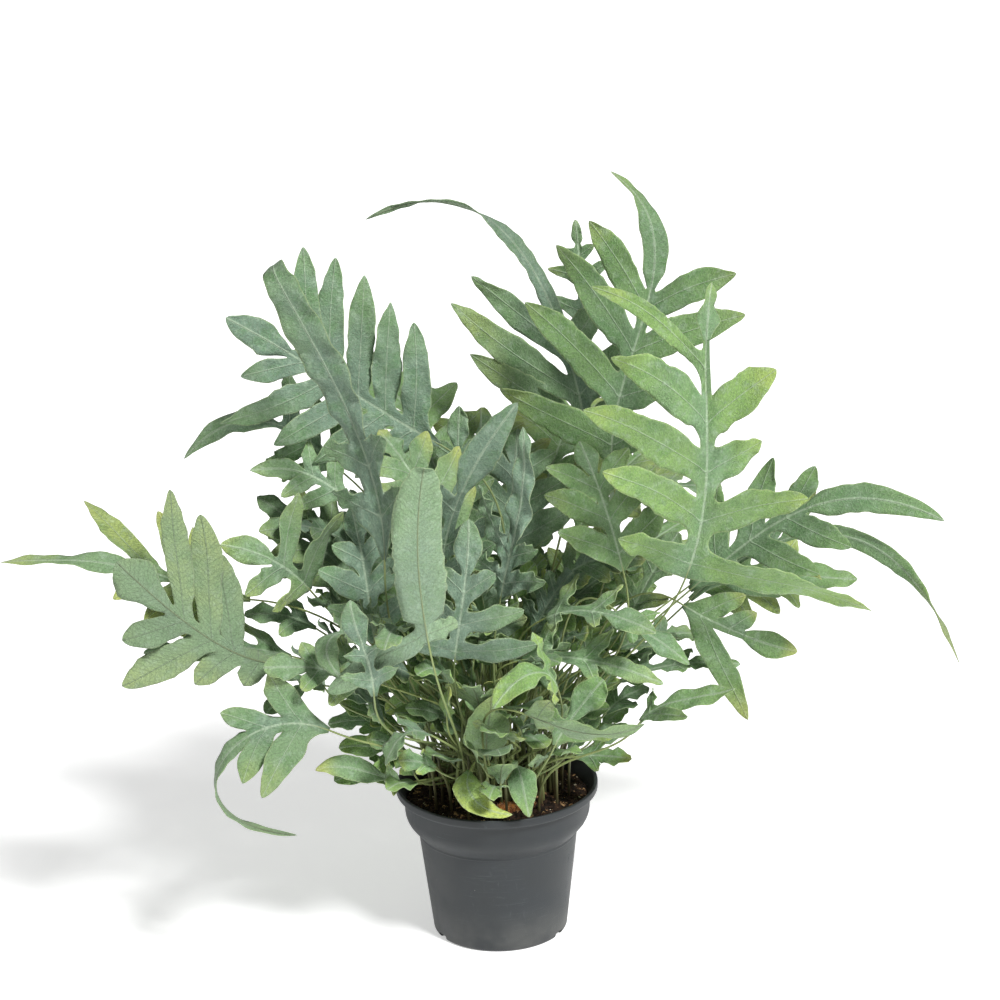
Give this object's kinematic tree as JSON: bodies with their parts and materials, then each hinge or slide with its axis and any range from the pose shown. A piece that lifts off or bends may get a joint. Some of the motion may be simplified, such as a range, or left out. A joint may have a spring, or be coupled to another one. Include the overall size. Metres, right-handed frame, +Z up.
{
  "type": "blue star fern in a nursery pot",
  "caption": "Bushy potted fern with long thin stipes and blue-green, strap-lobed fronds that fan out from a round dark grey nursery pot.",
  "frame": {"origin": "centre of the pot's flat base, on the surface it stands on", "axes": "+Z up, -Y to the front, where the pale front fronds are"},
  "size_m": [0.8783, 0.46, 0.7163],
  "materials": {
    "pot": "dark grey moulded plastic with a soft sheen and fine scuffs",
    "soil": null,
    "rhizome": "creeping stem thick with golden-brown hair-like scales",
    "leaf_blue": "matte blue-grey leaf with a waxy bloom and pale midribs",
    "leaf_green": "matte green leaf with a thin waxy bloom and pale midribs",
    "leaf_lime": "matte young yellow-green leaf with pale midribs"
  },
  "bodies": {
    "root": {"frond_back_high_1": "leaf_green", "frond_back_high_2": "leaf_green", "frond_back_high_3": "leaf_green", "frond_back_high_4": "leaf_green", "frond_back_low_1": "leaf_green", "frond_back_low_2": "leaf_green", "frond_back_low_3": "leaf_green", "frond_back_low_4": "leaf_green", "frond_centre_blue": "leaf_blue", "frond_centre_dark": "leaf_blue", "frond_centre_lime": "leaf_blue", "frond_centre_low": "leaf_blue", "frond_centre_pale": "leaf_blue", "frond_centre_round": "leaf_blue", "frond_centre_wavy": "leaf_blue", "frond_front_arch": "leaf_lime", "frond_front_broad": "leaf_lime", "frond_front_green": "leaf_lime", "frond_front_pale": "leaf_lime", "frond_front_point": "leaf_lime", "frond_front_yellow": "leaf_lime", "frond_left_behind": "leaf_blue", "frond_left_bud": "leaf_blue", "frond_left_cup": "leaf_blue", "frond_left_curl": "leaf_blue", "frond_left_edge": "leaf_blue", "frond_left_fan": "leaf_blue", "frond_left_far": "leaf_blue", "frond_left_high": "leaf_blue", "frond_left_inner": "leaf_blue", "frond_left_low": "leaf_blue", "frond_left_mid": "leaf_blue", "frond_left_pale": "leaf_blue", "frond_left_tongue": "leaf_blue", "frond_left_under": "leaf_blue", "frond_left_wavy": "leaf_blue", "frond_mid_left": "leaf_blue", "frond_mid_low": "leaf_blue", "frond_right_back": "leaf_green", "frond_right_dark": "leaf_green", "frond_right_flat": "leaf_green", "frond_right_front": "leaf_lime", "frond_right_inner": "leaf_green", "frond_right_long": "leaf_green", "frond_right_low": "leaf_green", "frond_right_mid": "leaf_green", "frond_right_small": "leaf_green", "frond_right_tail": "leaf_green", "frond_right_top": "leaf_green", "frond_top_tail": "leaf_blue", "frond_top_young": "leaf_blue", "frond_tuft_front": "leaf_lime", "frond_tuft_inner": "leaf_lime", "frond_tuft_left": "leaf_lime", "frond_tuft_right": "leaf_lime", "frond_tuft_sprouts": "leaf_lime", "pot": "pot", "rhizome_back": "rhizome", "rhizome_front": "rhizome", "soil": "soil"}
  },
  "joints": []
}
